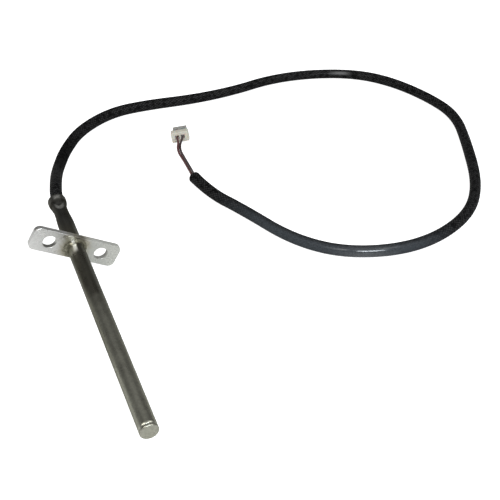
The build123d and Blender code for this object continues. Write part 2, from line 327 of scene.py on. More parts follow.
def makeSleeving():
    # outer braided surface, cut ends and a plainer bore as one closed shell
    step, columns, boreColumns = (sleeving[key] for key in ("step", "columns", "boreColumns"))
    line, along = splineLine("sleevingLine", sleeveRoute, step)
    relief = braidHeight(np.arange(columns)[None] / columns, along[:, None])
    flare = sleeving["flare"] * np.exp(-(along[-1] - along) / sleeving["flareLength"])
    slimmed = 1 - sleeving["slim"] * (1 - np.exp(-along / sleeving["slimLength"]))
    diameter = np.interp(along, *zip(*sleeving["swell"]))
    start, full, late, end = sleeving["worn"]
    flattened = smooth(start, full, along) * (1 - smooth(late, end, along))
    depth = sleeving["relief"] * (1 - sleeving["wornFlat"] * flattened)
    outer = diameter[:, None] / 2 - depth[:, None] * (1 - relief) + flare[:, None]
    rings = ringsAlong(line, outer * slimmed[:, None], columns)
    # the bore has a ring for every few outer ones, and ends level with the outside
    skip = sleeving["boreRows"]
    boreRadius = sleeving["bore"] / 2 + flare[:, None] * sleeving["boreFlare"]
    boreRings = ringsAlong(line[::skip], boreRadius[::skip], boreColumns)
    boreRings[-1] += line[-1] - line[::skip][-1]
    quads, corners = gridQuads(len(line), columns)
    boreQuads, boreCorners = gridQuads(len(boreRings), boreColumns)
    base = len(line) * columns
    faces = quads.tolist() + (boreQuads[:, ::-1] + base).tolist()
    boreUv = boreCorners.reshape(-1, 4, 2)[:, ::-1].reshape(-1, 2)
    uv = [corners * (sleeving["girth"] / columns, step),
          boreUv * (sleeving["girth"] / boreColumns, step * skip)]
    # each cut end is a ring of faces between the outside and the bore
    split, column = columns // boreColumns, np.arange(boreColumns)
    for ring, boreRing in ((0, 0), (len(line) - 1, len(boreRings) - 1)):
        fan = [ring * columns + (column * split + k) % columns for k in range(split + 1)]
        inner = [base + boreRing * boreColumns + (column + 1) % boreColumns,
                 base + boreRing * boreColumns + column]
        cut = np.stack(fan + inner, 1)
        faces += (cut if ring else cut[:, ::-1]).tolist()
        uv.append(np.zeros((cut.size, 2)) + (0, ring * step))
    points = np.concatenate([rings.reshape(-1, 3), boreRings.reshape(-1, 3)])
    points[:, 2] = np.maximum(points[:, 2], floorHeight)
    return makePiece("cableSleeving", points, faces, np.concatenate(uv)), line


cableSleeving, sleevingLine = makeSleeving()
standsFor(cableSleeving, "cable_sleeve")
print("sleeving laid,", len(cableSleeving.data.polygons), "faces, length",
      round(lineLength(sleevingLine), 4))

# the two wires

wire = {
    "diameter": 0.00100,
    "core": 0.00048,
    "strandRelief": 0.06,
    "apart": 0.00104,
    "spliceApart": 0.0020,
    "twists": 21,
    "straightStart": 0.030,
    "straightEnd": 0.038,
    # where the pair has come together after the splices: start, end
    "joined": (0.004, 0.020),
    # where it parts again, counted back from the connector, and how it leans before that
    "parted": (0.0014, 0.0060),
    "lean": 0.75,
    "leanFrom": 0.020,
    "columns": 16,
    "coreColumns": 12,
    "step": 0.0012,
}
pairRoute = [
    tuple(onProbe(0, 0, 0.0706)),
    tuple(onProbe(0, 0, 0.0450)),
    tuple(onProbe(0, 0, 0.0150)),
    *sleeveRoute,
    *wireTail,
    inConnector(-0.0032),
    inConnector(0.00115),
]


def wireLine(sign):
    # the pair's middle line, moved half the pair's spacing aside; the pair twists inside the
    # sleeving and leans a little outside it
    line, along = splineLine("pairLine", pairRoute, wire["step"])
    side, raised = lineFrame(line)
    left = along[-1] - along
    together = smooth(*wire["joined"], along)
    parting = 1 - smooth(*wire["parted"], left)
    half = (wire["spliceApart"] * (1 - together) + wire["apart"] * together) / 2
    half = half * (1 - parting) + connector["pitch"] / 2 * parting
    twisted = along[-1] - wire["straightStart"] - wire["straightEnd"]
    part = np.clip((left - wire["straightEnd"]) / twisted, 0, 1)
    leaning = connector["roll"] + wire["lean"] * smooth(wire["parted"][1], wire["leanFrom"], left)
    angle = leaning + (2 * math.pi * wire["twists"] - leaning) * part
    offset = np.cos(angle)[:, None] * side + np.sin(angle)[:, None] * raised
    placed = line + sign * half[:, None] * offset
    placed[:, 2] = np.maximum(placed[:, 2], floorHeight + wire["diameter"] / 2)
    return placed


def makeWire(sign, tint):
    # round insulation and a core of six outer strands along one of the pair's two lines
    line = wireLine(sign)
    strands = 1 + wire["strandRelief"] * np.cos(6 * angles(wire["coreColumns"]))
    made = []
    for part, size, relief, columns in (("wire", wire["diameter"], 1, wire["columns"]),
                                        ("core", wire["core"], strands, wire["coreColumns"])):
        made.append(makeTube(part + tint.capitalize(), ringsAlong(line, size / 2 * relief, columns),
                             (math.pi * size / columns, wire["step"]), capped=True))
    cover, core = made
    standsFor(cover, "insulation_" + tint)
    standsFor(core, "conductor_" + tint)
    return cover, core, line


wires = {"red": makeWire(-1, "red"), "black": makeWire(1, "black")}
print("wires laid, lengths", [round(lineLength(entry[2]), 4) for entry in wires.values()])

# turned pieces on the probe's own axis


def bezier(points, count):
    # a cubic through the first and last of four points, pulled towards the middle two
    share = np.linspace(0, 1, count)[:, None]
    first, second, third, last = np.array(points, float)
    return ((1 - share) ** 3 * first + 3 * (1 - share) ** 2 * share * second
            + 3 * (1 - share) * share ** 2 * third + share ** 3 * last)


def corner(centre, radius, start, end, count=6):
    # points of an arc about a centre, between two angles in degrees
    turn = np.radians(np.linspace(start, end, count))
    return np.array(centre) + radius * np.stack([np.cos(turn), np.sin(turn)], 1)


ringSpacing = 0.0005  # what the UV map of a turned piece counts from ring to ring


def turned(name, profile, columns, relief):
    # a closed outline of (distance, radius) carried round the axis; relief adds to each radius
    angle = angles(columns)
    radius = np.broadcast_to(profile[:, 1:], (len(profile), columns)).copy()
    radius += relief(profile[:, :1], profile[:, 1:], angle[None])
    along = np.broadcast_to(profile[:, :1], radius.shape)
    points = onProbe(radius * np.cos(angle), radius * np.sin(angle), along)
    uvStep = (2 * math.pi * profile[:, 1].max() / columns, ringSpacing)
    if profile[0, 1] > 0:
        return makeTube(name, points, uvStep, closedRows=True)
    # an outline that starts and ends on the axis gets one point and a fan of triangles there
    rows = len(profile) - 2
    quads, corners = gridQuads(rows, columns)
    step = np.arange(columns)
    start, end = rows * columns, rows * columns + 1
    after = (step + 1) % columns
    fans = np.concatenate([
        np.stack([np.full(columns, start), after, step], 1),
        np.stack([np.full(columns, end), step + start - columns, after + start - columns], 1)])
    poles = points[[0, -1], 0]
    points = np.concatenate([points[1:-1].reshape(-1, 3), poles])
    uv = np.concatenate([corners * uvStep, np.zeros((fans.size, 2))])
    return makePiece(name, points, quads.tolist() + fans.tolist(), uv)


sheath = {
    "radius": 0.003,
    "wall": 0.00035,
    "tubeEnd": 0.089,
    "taperStart": -0.0125,
    "neck": -0.0208,
    "neckRadius": 0.00265,
    "lip": -0.0274,
    "lipEnd": -0.0283,
    "lipRadius": 0.0034,
    "lipRound": 0.00015,
    "dents": 4,
    "dentTurn": -2.234,
    "dentDepth": 0.00032,
    "dentPlace": -0.0234,
    "dentLength": 0.0014,
    "dentSharpness": 1.2,
    "groove": -0.0248,
    "grooveDepth": 0.00014,
    "grooveLength": 0.0008,
    "wave": 0.000012,
    "waveRate": 260,
    "waveFrom": (-0.030, -0.010),
    # points along the straight part, the taper and the bell
    "rows": (90, 16, 26),
    "columns": 120,
}


def rolledSide(inset):
    # the sheath's side from the tip end to the lip, moved inwards by the inset
    straight, waist, flare = (sheath[key] - inset for key in ("radius", "neckRadius", "lipRadius"))
    shoulder, neck, lip = sheath["taperStart"], sheath["neck"], sheath["lip"]
    rows, taperRows, bellRows = sheath["rows"]
    body = np.linspace(sheath["tubeEnd"], shoulder, rows)

    def bend(start, startRadius, end, endRadius, count):
        # an S from one radius to the other, level at both ends
        middle = (start + end) / 2
        return bezier([(start, startRadius), (middle, startRadius), (middle, endRadius),
                       (end, endRadius)], count)[1:]

    return np.concatenate([np.stack([body, np.full(rows, straight)], 1),
                           bend(shoulder, straight, neck, waist, taperRows),
                           bend(neck, waist, lip, flare, bellRows)])


def crimpDents(along, radius, angle):
    # pressed hollows, evenly spaced round the neck, a shallow groove behind the lip and a slight
    # waviness of the tube
    near = np.exp(-((along - sheath["dentPlace"]) / sheath["dentLength"]) ** 2)
    pressed = np.clip(np.cos(sheath["dents"] * angle + sheath["dentTurn"]), 0, 1)
    pressed = pressed ** sheath["dentSharpness"]
    groove = np.exp(-((along - sheath["groove"]) / sheath["grooveLength"]) ** 2)
    wave = sheath["wave"] * np.sin(along * sheath["waveRate"] + 2 * angle)
    wave = np.abs(wave * smooth(*sheath["waveFrom"], along))
    return -sheath["dentDepth"] * near * pressed - sheath["grooveDepth"] * groove - wave


def makeSheath():
    # outer side, rounded rim and inner side as one closed outline
    outer, inner = rolledSide(0.0), rolledSide(sheath["wall"])
    rim, rounded = sheath["lipEnd"] + sheath["lipRound"], sheath["lipRound"]
    lipInner = sheath["lipRadius"] - sheath["wall"]
    lip = np.concatenate([corner((rim, sheath["lipRadius"] - rounded), rounded, 90, 180),
                          corner((rim, lipInner + rounded), rounded, 180, 270)])
    profile = np.concatenate([outer, lip, inner[::-1]])
    piece = turned("sheathTube", profile, sheath["columns"], crimpDents)
    return standsFor(piece, "sheath_tube")


tip = {
    "end": 0.090,
    # how far the spigot reaches into the tube, and its chamfer
    "spigot": 0.0015,
    "chamfer": 0.0001,
    "rim": 0.0005,
    "seam": 0.0002,
    "seamDip": 0.00002,
    # the disc's surface, from the rim to the middle: how far it sinks and at what radius
    "disc": ((0.00001, 0.0021), (0.00004, 0.0015), (0.00005, 0.0)),
    # the weld's overlapping scales
    "scales": 26,
    "scaleDepth": 0.000015,
    "scaleLength": 0.00012,
}


def makeTipPlug():
    # spigot in the bore, welded joint with the tube, and a rounded rim round a faintly sunk disc
    radius, bore, end = sheath["radius"], sheath["radius"] - sheath["wall"], tip["end"]
    tube, rounded = sheath["tubeEnd"], tip["rim"]
    foot, weld = tube - tip["spigot"], np.linspace(0, 1, 9)
    seam = np.stack([tube + tip["seam"] * weld,
                     radius - tip["seamDip"] * np.sin(math.pi * weld)], 1)
    profile = np.concatenate([
        [(foot, 0.0), (foot, bore - tip["chamfer"]), (foot + tip["chamfer"], bore), (tube, bore)],
        seam, corner((end - rounded, radius - rounded), rounded, 90, 0, 10),
        [(end - sink, away) for sink, away in tip["disc"]]])

    def weldRipple(along, size, angle):
        # overlapping weld scales round the joint
        near = np.exp(-((along - tube - tip["seam"] / 2) / tip["scaleLength"]) ** 2)
        outside = size > radius * 0.95
        return -tip["scaleDepth"] * near * outside * (1 + np.sin(tip["scales"] * angle))

    piece = turned("tipPlug", profile, sheath["columns"], weldRipple)
    return standsFor(piece, "tip_plug")


braze = {
    "gap": 0.0001,
    "leg": 0.0009,
    "face": 0.0010,
    # points that pull the fillet in: how many times shorter than the leg, and extra radius
    "hollow": ((2.2, 0.0), (5, 0.0001)),
    "sunk": 0.00005,
    "rows": 14,
    "lump": 0.00016,
    "lumpFrom": (-0.00005, 0.0003),
    # lumps: how many round the sheath, their share, where they start and how they wind
    "lumps": ((3, 0.5, 0.8, 0), (5, 0.3, 2.1, 300), (11, 0.2, 0.0, 0)),
    "columns": 96,
}


def makeBraze():
    # a hollow fillet on each face of the flange, joined through the gap round the sheath
    inner, leg, face = sheath["radius"], braze["leg"], braze["face"]
    gap, dip, rim = inner + braze["gap"], inner + leg / 4, inner - braze["sunk"]
    hollow = [(face + leg / part, dip + extra) for part, extra in braze["hollow"]]
    front = bezier([(face + leg, inner), *hollow, (face, gap + leg)], braze["rows"])
    profile = np.concatenate([[(face + leg, rim)], front, [(face, gap), (-face, gap)],
                              front[::-1] * (-1, 1), [(-face - leg, rim)]])[::-1]

    def lumps(along, size, angle):
        # uneven flow of the alloy: it stands further out in a few places
        on = smooth(*(gap + value for value in braze["lumpFrom"]), size)
        flow = sum(part * np.sin(count * angle + start + wind * along)
                   for count, part, start, wind in braze["lumps"])
        return braze["lump"] * on * flow

    piece = turned("flangeBraze", profile, braze["columns"], lumps)
    return standsFor(piece, "flange_braze")


makeSheath()
makeTipPlug()
makeBraze()
print("sheath, tip plug and braze turned")

flange = {
    "length": 0.0335,
    "width": 0.0091,
    "thickness": 0.0020,
    "corner": 0.0022,
    "edge": 0.00025,
    "hole": 0.0024,
    "spacing": 0.020,
    "bore": 0.0031,
    "cornerPoints": 12,
    "holePoints": 64,
    "edgeSegments": 3,
}


def flangeOutlines():
    # rounded rectangle with a hole for the sheath and a screw hole near each end
    radius, away = flange["corner"], flange["spacing"] / 2
    x, y = flange["length"] / 2 - radius, flange["width"] / 2 - radius
    corners = (((x, y), 0), ((-x, y), 90), ((-x, -y), 180), ((x, -y), 270))
    yield np.concatenate([corner(centre, radius, start, start + 90, flange["cornerPoints"])
                          for centre, start in corners])
    for centre, hole in ((-away, "hole"), (away, "hole"), (0, "bore")):
        yield corner((centre, 0), flange[hole], 0, 360, flange["holePoints"] + 1)[:-1]


def makeFlange():
    # the outlines as a filled curve with rounded edges, then a mesh seated on the probe's axes
    edge = flange["edge"]
    data = bpy.data.curves.new("mountingFlange", "CURVE")
    data.dimensions = "2D"
    data.fill_mode = "BOTH"
    data.extrude = flange["thickness"] / 2 - edge
    data.bevel_depth = edge
    data.bevel_resolution = flange["edgeSegments"]
    data.offset = -edge
    for outline in flangeOutlines():
        addSpline(data, "POLY", outline).use_cyclic_u = True
    mesh, flat = curveMesh(data)
    mesh.vertices.foreach_set("co", onProbe(*flat.T).ravel())
    build = bmesh.new()
    build.from_mesh(mesh)
    bmesh.ops.remove_doubles(build, verts=build.verts, dist=1e-7)
    bmesh.ops.recalc_face_normals(build, faces=build.faces)
    axis = tuple(tipWards)
    for face in build.faces:
        face.smooth = abs(face.normal.dot(axis)) < 0.999
    build.to_mesh(mesh)
    build.free()
    mesh.name = "mountingFlange"
    return standsFor(addObject("mountingFlange", mesh), "mounting_flange")


makeFlange()
print("flange cut")


housingEdges = {"radius": 0.00013, "segments": 3, "sharperThan": math.radians(30)}


def makeHousing():
    # the housing's CAD shape, merged into whole faces, with its moulded edges rounded
    mesh = nodes["connector_housing"].data.copy()
    mesh.name = "connectorHousing"
    mesh.materials.clear()
    build = bmesh.new()
    build.from_mesh(mesh)
    bmesh.ops.remove_doubles(build, verts=build.verts, dist=1e-6)
    bmesh.ops.dissolve_limit(build, angle_limit=math.radians(1), verts=build.verts,
                             edges=build.edges)
    for face in build.faces:
        face.smooth = True
    build.to_mesh(mesh)
    build.free()
    piece = addObject("connectorHousing", mesh)
    rounding = piece.modifiers.new("mouldedEdges", "BEVEL")
    rounding.width = housingEdges["radius"]
    rounding.segments = housingEdges["segments"]
    rounding.limit_method = "ANGLE"
    rounding.angle_limit = housingEdges["sharperThan"]
    rounding.harden_normals = True
    return standsFor(piece, "connector_housing")


housing = makeHousing()
print("housing made")

# shader nodes


def node(kind, inputs, tree=None, **settings):
    # one node: settings first, then each input is linked to a socket or set to a value; without
    # a tree it joins the tree of its first socket
    sockets = [value for value in inputs.values() if isinstance(value, bpy.types.NodeSocket)]
    tree = tree or sockets[0].id_data
    made = tree.nodes.new("ShaderNode" + kind)
    for name, value in settings.items():
        setattr(made, name, value)
    for name, value in inputs.items():
        if value in sockets:
            tree.links.new(value, made.inputs[name])
        else:
            made.inputs[name].default_value = value
    return made


def opaque(rgb):
    # a colour with its alpha
    return (*rgb, 1.0)


def sums(operation, *values):
    # a Math node's result
    return node("Math", dict(enumerate(values)), operation=operation).outputs[0]


def times(first, second):
    # the product of two values
    return sums("MULTIPLY", first, second)


def scaled(value, factor, extra):
    # the value times the factor, plus some more
    return sums("MULTIPLY_ADD", value, factor, extra)


def vectors(operation, first, second, output=0):
    # a Vector Math node's result: output 0 is its vector and 1 its value
    return node("VectorMath", {0: first, 1: second}, operation=operation).outputs[output]


def parts(vector):
    # the three numbers of a vector
    return node("SeparateXYZ", {0: vector}).outputs


def share(value, low, high, least=0.0, most=1.0):
    # an even S from least to most while the value goes from low to high
    return node("MapRange", {"Value": value, "From Min": low, "From Max": high,
                             "To Min": least, "To Max": most},
                interpolation_type="SMOOTHSTEP").outputs["Result"]


def ranged(value, limits):
    # an even S between the two limits while the value goes from 0 to 1
    return share(value, 0.0, 1.0, *limits)


def within(value, start, full, late, end):
    # 0 up to start, 1 from full to late, 0 again from end on
    return times(share(value, start, full), share(value, end, late))


def pick(factor, first, second):
    # a mix of two numbers
    return node("Mix", {0: factor, 2: first, 3: second}).outputs[0]


def blend(factor, first, second):
    # a mix of two colours, each a socket or three numbers
    first, second = (value if isinstance(value, bpy.types.NodeSocket) else opaque(value)
                     for value in (first, second))
    return node("Mix", {0: factor, 6: first, 7: second}, data_type="RGBA").outputs[2]


def noise(vector, size, detail=3.0, roughness=0.55, distortion=0.0):
    # soft noise whose features are about one size across, in the units of the vector
    return node("TexNoise", {"Vector": vector, "Scale": 1.0 / size, "Detail": detail,
                             "Roughness": roughness, "Distortion": distortion}).outputs[0]


def bumped(height, distance):
    # a Bump node's normal for a height that spans the distance, in metres
    return node("Bump", {"Height": height, "Distance": distance}).outputs["Normal"]


def coordinates(tree, kind="Object"):
    # the piece's own coordinates, or its UV map
    return node("TexCoord", {}, tree).outputs[kind]


def millimetres(tree):
    # Object coordinates in millimetres
    return node("VectorMath", {0: coordinates(tree), "Scale": 1000.0}, operation="SCALE").outputs[0]


def newGroup(name, inputs, outputs, build):
    # a shader group with named sockets; build takes its tree and its inputs and gives its
    # outputs, and the function that comes back puts a copy of the group, with its own values,
    # into a tree and gives the copy's outputs
    tree = bpy.data.node_groups.new(name, "ShaderNodeTree")
    for label, (kind, value) in inputs.items():
        socket = tree.interface.new_socket(label, in_out="INPUT", socket_type="NodeSocket" + kind)
        socket.default_value = value
    for label, kind in outputs.items():
        tree.interface.new_socket(label, in_out="OUTPUT", socket_type="NodeSocket" + kind)
    given = tree.nodes.new("NodeGroupInput").outputs
    made = tree.nodes.new("NodeGroupOutput").inputs
    for label, value in zip(outputs, build(tree, given)):
        tree.links.new(value, made[label])
    return lambda into=None, **values: node("Group", values, into, node_tree=tree).outputs


def probePlaceNodes(tree, given):
    # the place in millimetres on the probe's axes, the distance along it and from its axis
    spot = millimetres(tree)
    across, up, along = (vectors("DOT_PRODUCT", spot, tuple(axis), 1)
                         for axis in (flangeLong, flangeShort, tipWards))
    together = node("CombineXYZ", {0: across, 1: up, 2: along}).outputs[0]
    offAxis = sums("SQRT", sums("ADD", times(across, across), times(up, up)))
    return together, along, offAxis


def mottleNodes(tree, given):
    # blotches and finer flecks, from one vector
    size = vectors("DIVIDE", given["Vector"], given["Size"])
    blotch = share(noise(size, 1.0, 4.0, 0.6, 0.3), 0.3, 0.7)
    return blotch, share(noise(size, 0.17, 3.0, 0.7), 0.35, 0.65)


def brushedNodes(tree, given):
    # fine lines along one axis: noise that is stretched by the vector's own scale
    stretched = vectors("MULTIPLY", given["Vector"], given["Stretch"])
    fine, coarse = noise(stretched, 0.11, 3.0, 0.65), noise(stretched, 0.45, 2.0, 0.5)
    lines = sums("ADD", times(fine, 0.6), times(coarse, 0.4))
    rare = noise(vectors("ADD", stretched, (7.3, 2.1, 0.4)), 0.2, 1.0, 0.4)
    return share(lines, 0.3, 0.7), share(rare, 0.66, 0.72)


def yarnNodes(tree, given):
    # crossing strands from a UV map in metres: height of the weave, its gaps, the fibres of a
    # strand and a number that differs from strand to strand
    flat = parts(coordinates(tree, "UV"))
    about = sums("DIVIDE", times(flat[0], given["Strands"]), given["Girth"])
    along = sums("DIVIDE", flat[1], given["Cell"])
    first, second = sums("ADD", about, along), sums("SUBTRACT", about, along)
    firstCell, secondCell = sums("FLOOR", first), sums("FLOOR", second)
    over = sums("GREATER_THAN",
                sums("FLOORED_MODULO", sums("ADD", firstCell, secondCell), 2.0), 0.5)
    across, beside = sums("FRACT", first), sums("FRACT", second)
    lead, follow = pick(over, across, beside), pick(over, beside, across)
    bulge = sums("SINE", times(lead, math.pi))
    crown = sums("SINE", times(follow, math.pi))
    height = times(sums("POWER", bulge, 0.6), scaled(crown, 0.4, 0.6))
    fibre = scaled(sums("SINE", times(lead, 38.0)), 0.5, 0.5)
    strand = node("TexWhiteNoise", {"W": pick(over, firstCell, secondCell)},
                  noise_dimensions="1D").outputs["Value"]
    return height, share(bulge, 0.5, 0.05), fibre, strand


vectorInput = ("Vector", (0.0, 0.0, 0.0))
probePlace = newGroup("probePlace", {}, {"Place": "Vector", "Along": "Float", "Off Axis": "Float"},
                      probePlaceNodes)
mottle = newGroup("mottle", {"Vector": vectorInput, "Size": ("Float", 1.0)},
                  {"Blotch": "Float", "Fleck": "Float"}, mottleNodes)
brushed = newGroup("brushed", {"Vector": vectorInput, "Stretch": ("Vector", (1.0, 1.0, 0.02))},
                   {"Lines": "Float", "Scratch": "Float"}, brushedNodes)
braidYarn = newGroup("braidYarn", {"Strands": ("Float", sleeving["strands"]),
                                   "Cell": ("Float", sleeving["cell"]),
                                   "Girth": ("Float", sleeving["girth"])},
                     {"Height": "Float", "Gap": "Float", "Fibre": "Float", "Strand": "Float"},
                     yarnNodes)


def material(name, build, values, plain):
    # a Principled material: build makes the varying sockets from its values, and plain values go
    # on the shader itself
    made = bpy.data.materials.new(name)
    made.use_nodes = True
    tree = made.node_tree
    shader = tree.nodes["Principled BSDF"]
    for label, value in plain.items():
        shader.inputs[label].default_value = value
    for label, value in build(tree, *values).items():
        tree.links.new(value, shader.inputs[label])
    return made


def towards(spot, offAxis, degrees):
    # cosine of the angle, seen along the axis, between the place and a direction across the axis
    turn = math.radians(degrees)
    across = vectors("DOT_PRODUCT", spot, (math.cos(turn), math.sin(turn), 0.0), 1)
    return sums("DIVIDE", across, offAxis)


def layered(base, *layers):
    # colours laid over the base one after another, each through its own mask
    for mask, tint in layers:
        base = blend(mask, base, tint)
    return base


# painted highlight in one streak up the sheath and over the flange, coloured like silver alloy:
# angle and colour
highlightRun = {"turn": 132.5, "colour": (0.56, 0.55, 0.495), "metallic": 0.35}

# colours, then places in millimetres along the probe and angles in degrees about it
sheathFinish = {
    "tip": (0.40, 0.40, 0.335),
    "middle": (0.37, 0.37, 0.31),
    "seat": (0.115, 0.110, 0.090),
    # painted reflection: the seat's sides, paler than its dark front
    "seatSidesGleam": (0.28, 0.28, 0.25),
    "rear": (0.085, 0.084, 0.080),
    "lip": (0.16, 0.157, 0.145),
    # painted shade in the groove behind the lip
    "groove": (0.045, 0.044, 0.042),
    # painted highlight: the colour of the glints on the neck and on the lip's rim
    "paintedSheen": (0.72, 0.72, 0.68),
    # painted highlight: a pale band on the sheath's left just off the flange
    "leftGleam": (0.44, 0.435, 0.37),
    # painted shade: darker on the sheath's left further from the flange
    "tarnishAndShade": (0.21, 0.21, 0.17),
    "streak": (0.38, 0.37, 0.32),
    "stain": (0.070, 0.065, 0.050),
    "seatTurn": 138.0,
    "middleFrom": (25.0, 45.0),
    "tipFrom": (44.0, 90.0),
    "rearFrom": (-0.5, -10.5),
    "lipFrom": (-24.0, -26.0),
    "grooveShade": (-26.0, -25.0, -24.3, -23.2),
    "sheenTurn": 122.0,
    "neckGlint": (-22.5, -21.3, -20.7, -19.3),
    "rimGlint": (-28.2, -26.9, -26.6, -25.4),
    "leftGleamTurn": 190.0,
    "leftGleamReach": (0.0, 1.0, 6.5, 8.5),
    "leftShadeTurn": 200.0,
    "leftShadeReach": (28.0, 38.0, 50.0, 70.0),
    "highlightReach": (1.2, 3.0, 4.6, 7.4),
    "roughness": (0.24, 0.36),
}


def sheathNodes(tree):
    # drawn steel, browned by heat from the flange to the neck, with draw lines and dull blotches;
    # painted highlights on the neck, the lip's rim, the seat's sides, the left just off the flange
    # and a streak along the front, with painted shade in the groove and on the left further out
    look = sheathFinish
    spot, along, offAxis = probePlace(tree)
    blotch, fleck = mottle(Vector=spot, Size=5.5)
    lines, scratch = brushed(Vector=spot, Stretch=(1.0, 1.0, 0.012))
    uneven = scaled(blotch, 4.0, along)
    # painted reflection: paler towards the sides than on the line facing the front
    gleamingSides = share(towards(spot, offAxis, look["seatTurn"]), 0.82, 0.52)
    # the painted neck highlight's band bends rearwards, in a V, away from the side that faces the
    # front
    frontal = towards(spot, offAxis, look["sheenTurn"])
    hollow = scaled(sums("SUBTRACT", 1.0, frontal), 9.0, along)
    # painted highlights on the neck and on the lip's rim, on the side that faces the front
    neckGlint = times(share(frontal, 0.70, 0.97), within(hollow, *look["neckGlint"]))
    rimGlint = times(share(frontal, 0.86, 0.99), within(along, *look["rimGlint"]))
    paintedSheen = times(sums("ADD", neckGlint, rimGlint), ranged(fleck, (1.0, 0.7)))
    # painted highlight: a pale band on the sheath's left just off the flange
    leftGleam = times(share(towards(spot, offAxis, look["leftGleamTurn"]), 0.50, 0.80),
                 within(scaled(fleck, 2.0, along), *look["leftGleamReach"]))
    # painted shade: darker on the sheath's left further from the flange
    tarnishAndShade = times(share(towards(spot, offAxis, look["leftShadeTurn"]), 0.75, 0.95, 0.0, 0.8),
                    within(along, *look["leftShadeReach"]))
    # painted highlight: a streak along the front of the sheath just off the flange
    paintedRun = times(share(towards(spot, offAxis, highlightRun["turn"]), 0.950, 0.998),
                within(along, *look["highlightReach"]))
    base = layered(blend(gleamingSides, look["seat"], look["seatSidesGleam"]),
                   (share(uneven, *look["middleFrom"]), look["middle"]),
                   (share(uneven, *look["tipFrom"]), look["tip"]),
                   (share(uneven, *look["rearFrom"]), look["rear"]),
                   (share(along, *look["lipFrom"]), look["lip"]),
                   # painted shade in the groove behind the lip
                   (within(along, *look["grooveShade"]), look["groove"]),
                   (paintedSheen, look["paintedSheen"]), (leftGleam, look["leftGleam"]), (tarnishAndShade, look["tarnishAndShade"]),
                   (times(lines, 0.15), look["streak"]),
                   (times(fleck, 0.22), look["stain"]), (paintedRun, highlightRun["colour"]))
    low, high = look["roughness"]
    return {"Base Color": base,
            "Roughness": scaled(lines, 0.05, scaled(blotch, high - low, low)),
            "Metallic": ranged(paintedRun, (1.0, highlightRun["metallic"])),
            "Normal": bumped(sums("SUBTRACT", lines, times(scratch, 1.5)), 0.000006)}


# colours, then places in millimetres: from the axis for the heat, along the flange for its steel
flangeFinish = {
    "steel": (0.78, 0.78, 0.76),
    # painted shade: the steel darker towards the low screw hole
    "endShade": (0.60, 0.61, 0.565),
    "tint": (0.44, 0.41, 0.30),
    "burnt": (0.185, 0.18, 0.125),
    "scorched": (0.11, 0.09, 0.06),
    "grain": (0.56, 0.56, 0.54),
    "fleck": (0.30, 0.29, 0.26),
    "punched": (0.46, 0.46, 0.43),
    "endShadeFrom": (1.0, 10.0),
    "tintFrom": (8.2, 4.4),
    "burntFrom": (5.6, 3.9),
    "scorchAt": (0.4, 3.4, 1.0),
    "scorchFrom": (2.6, 1.2),
    "highlightReach": (3.6, 4.6, 5.8, 6.6),
    "punchedFrom": (2.85, 2.6),
    "shearedFrom": (0.98, 0.88),
    "edgePaleness": (0.0, 0.28),
    "edgeRoughness": 0.32,
    "roughness": (0.24, 0.36),
}


def flangeNodes(tree):
    # rolled stainless plate, brushed along its length, with a browned ring round the braze, rolled
    # rims round the screw holes and duller sheared edges; painted shade towards the low screw hole
    # and a painted highlight streak beside the sheath
    look = flangeFinish
    spot, along, offAxis = probePlace(tree)
    blotch, fleck = mottle(Vector=spot, Size=2.6)
    lines, scratch = brushed(Vector=spot, Stretch=(0.03, 1.0, 1.0))
    side, up = parts(spot)[:2]
    spread = sums("ADD", offAxis, share(side, -1.0, 3.0, 0.4, 1.1))
    reach = scaled(sums("SUBTRACT", blotch, 0.5), 1.6, spread)
    scorch = vectors("DISTANCE", spot, look["scorchAt"], 1)
    # painted highlight: a streak over the flange face beside the sheath
    paintedRun = times(share(towards(spot, offAxis, highlightRun["turn"]), 0.962, 0.996),
                within(offAxis, *look["highlightReach"]))
    sheared = share(sums("ABSOLUTE", along), *look["shearedFrom"])
    pale = share(side, -5.0, 5.0, *look["edgePaleness"])
    # both screw holes at once, from the distance to either one's middle
    either = node("CombineXYZ", {0: sums("ABSOLUTE", side), 1: up}).outputs[0]
    off = vectors("DISTANCE", either, (500.0 * flange["spacing"], 0.0, 0.0), 1)
    rim = times(share(off, *look["punchedFrom"]), share(sheared, 0.0, 0.3))
    # painted shade: the steel darker towards the low screw hole
    base = layered(blend(share(scaled(blotch, 6.0, side), *look["endShadeFrom"]),
                         look["steel"], look["endShade"]),
                   (share(reach, *look["tintFrom"]), look["tint"]),
                   (share(reach, *look["burntFrom"]), look["burnt"]),
                   (share(scorch, *look["scorchFrom"], 0.0, 0.9), look["scorched"]),
                   (times(lines, 0.28), look["grain"]), (times(fleck, 0.16), look["fleck"]),
                   (paintedRun, highlightRun["colour"]), (rim, look["punched"]))
    low, high = look["roughness"]
    rough = sums("MAXIMUM", scaled(blotch, high - low, low),
                 times(sheared, sums("ADD", pale, look["edgeRoughness"])))
    return {"Base Color": base, "Roughness": rough,
            "Metallic": sums("SUBTRACT", 1.0, times(sheared, pale)),
            "Normal": bumped(sums("SUBTRACT", lines, times(scratch, 1.2)), 0.000006)}


brazeFinish = {
    "alloy": (0.27, 0.262, 0.20),
    "brown": (0.13, 0.125, 0.09),
    "flux": (0.085, 0.08, 0.055),
    "roughness": (0.25, 0.48),
}


